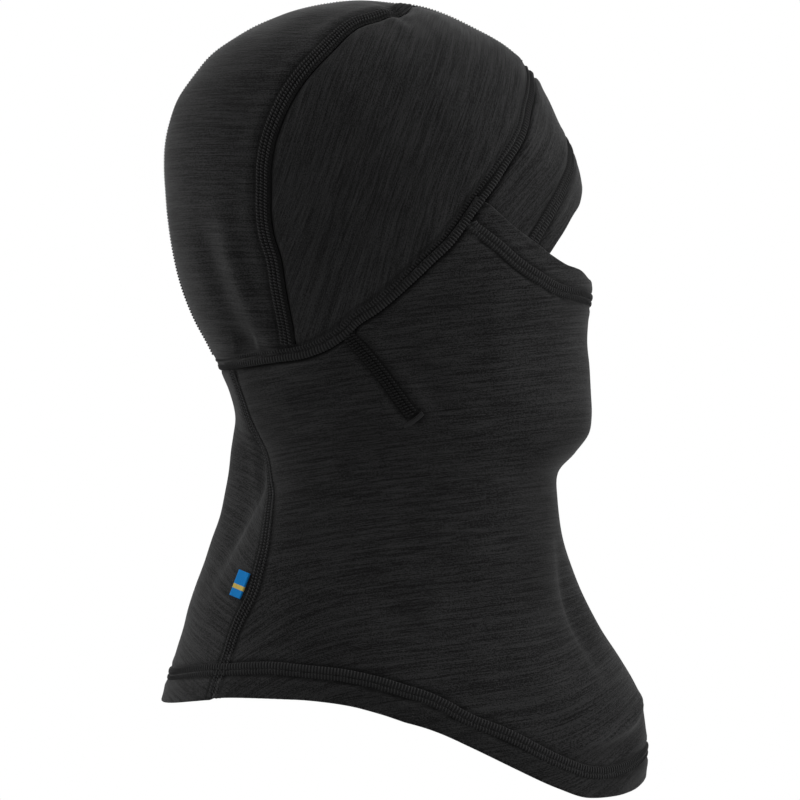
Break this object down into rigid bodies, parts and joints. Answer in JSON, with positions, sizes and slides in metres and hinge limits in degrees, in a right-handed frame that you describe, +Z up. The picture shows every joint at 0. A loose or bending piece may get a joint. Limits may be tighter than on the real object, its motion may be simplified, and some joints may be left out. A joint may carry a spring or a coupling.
{
  "type": "balaclava",
  "caption": "Close-fitting knitted full-head balaclava with an eye opening, a mask with a hemmed edge, flat seams and a flared neck skirt with a small side tab.",
  "frame": {"origin": "centre of the wearer's head at brow height, in the middle of the head cavity", "axes": "+Z up along the head, -Y forward through the eye opening, +X to the wearer's left; x = 0 is the plane of symmetry"},
  "size_m": [0.158, 0.256, 0.4135],
  "materials": {
    "crown_knit": "matte marled jersey knit",
    "mask_knit": "matte marled jersey knit",
    "seam_thread": "matte flatlock thread",
    "woven_tab": "smooth woven ribbon"
  },
  "bodies": {
    "hood": {"crown_back_left": "crown_knit", "crown_back_right": "crown_knit", "crown_side_left": "crown_knit", "crown_side_right": "crown_knit", "forehead_panel": "crown_knit", "face_neck_panel": "mask_knit", "back_neck_panel": "mask_knit", "crown_centre_back_seam": "seam_thread", "crown_centre_top_seam": "seam_thread", "crown_base_seam": "seam_thread", "crown_rear_seam_left": "seam_thread", "crown_rear_seam_right": "seam_thread", "neck_seam_left": "seam_thread", "neck_seam_right": "seam_thread", "dart_seam_left": "seam_thread", "dart_seam_right": "seam_thread", "dart_tack_left": "seam_thread", "dart_tack_right": "seam_thread", "brow_hem_stitch": "seam_thread", "mask_hem_stitch": "seam_thread", "bottom_hem_stitch": "seam_thread"},
    "tab": {"side_tab": "woven_tab"}
  },
  "joints": [
    {"name": "side_tab_fold", "type": "hinge", "parent": "hood", "child": "tab", "pos_m": [-0.05109, 0.06439, -0.20645], "axis": [0.0226, -0.3589, 0.9331], "range_deg": [0, 120], "stiffness_Nm_per_rad": 0.0001}
  ]
}
